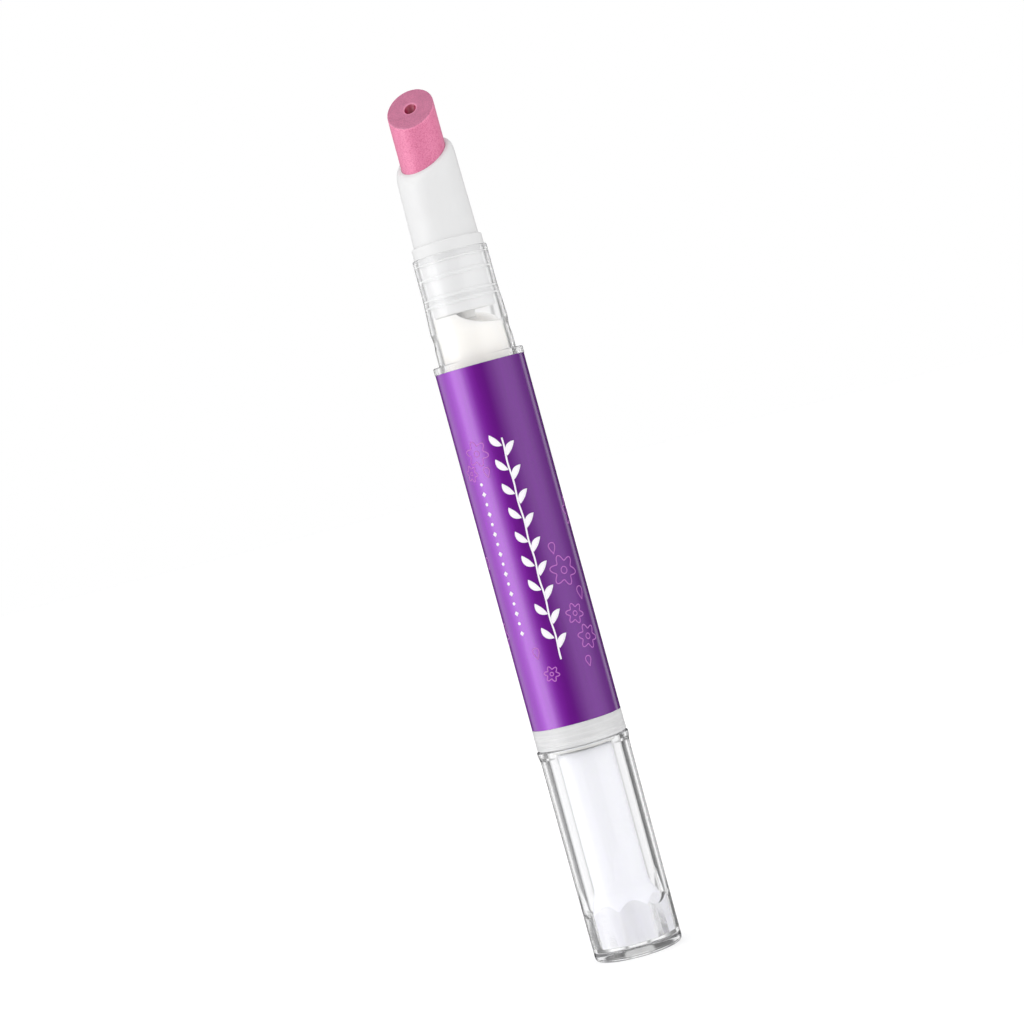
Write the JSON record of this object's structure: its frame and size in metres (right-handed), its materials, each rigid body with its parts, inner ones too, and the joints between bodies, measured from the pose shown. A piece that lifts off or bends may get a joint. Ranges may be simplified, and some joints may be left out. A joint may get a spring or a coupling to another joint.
{
  "type": "nail oil pen",
  "caption": "Slim twist-up pen for nail and cuticle oil, with a slanted porous nib, a clear oil window, a labelled barrel and a clear twist knob at its foot.",
  "frame": {"origin": "centre of the twist knob's flat base", "axes": "+Z along the pen from the knob's base to the nib; the high side of the holder's slanted mouth is towards +Y"},
  "size_m": [0.0113, 0.0112, 0.1053],
  "materials": {
    "clear_plastic": "clear moulded plastic, polished",
    "pearl_plastic": "pale lavender white moulding, slightly translucent",
    "frosted_plastic": "frosted natural plastic",
    "white_plastic": "white moulding, satin",
    "porous_pink": "sintered porous plastic, dyed pink",
    "label_film": "metallic purple printed film",
    "oil": "pale cream oil",
    "soft_seal": "natural soft polymer",
    "dark_rubber": "black silicone",
    "inner_plastic": "natural white moulding"
  },
  "bodies": {
    "barrel_body": {"barrel": "clear_plastic", "label_sleeve": "label_film", "end_collar": "frosted_plastic", "ratchet_ring": "inner_plastic", "guide_nut": "inner_plastic", "nib_holder": "white_plastic", "feed_tube": "inner_plastic", "porous_nib": "porous_pink", "oil_charge": "oil"},
    "knob_body": {"twist_knob": "clear_plastic", "drive_core": "pearl_plastic", "pawl_ring": "inner_plastic", "retaining_clip": "inner_plastic", "drag_ring": "dark_rubber"},
    "screw_body": {"lead_screw": "inner_plastic"},
    "piston_body": {"piston_cup": "soft_seal", "piston_core": "inner_plastic"}
  },
  "joints": [
    {"name": "knob_twist", "type": "hinge", "parent": "barrel_body", "child": "knob_body", "pos_m": [0, 0, 0], "axis": [0, 0, -1], "range_deg": [0, 4680]},
    {"name": "screw_feed", "type": "slide", "parent": "knob_body", "child": "screw_body", "axis": [0, 0, 1], "range_m": [0, 0.0312]},
    {"name": "piston_feed", "type": "slide", "parent": "barrel_body", "child": "piston_body", "axis": [0, 0, 1], "range_m": [0, 0.0312], "deforming": ["oil_charge"]}
  ],
  "couplings": [
    {"joint": "screw_feed", "follows": "knob_twist", "m_per_rad": 0.00038197},
    {"joint": "piston_feed", "follows": "knob_twist", "m_per_rad": 0.00038197}
  ]
}
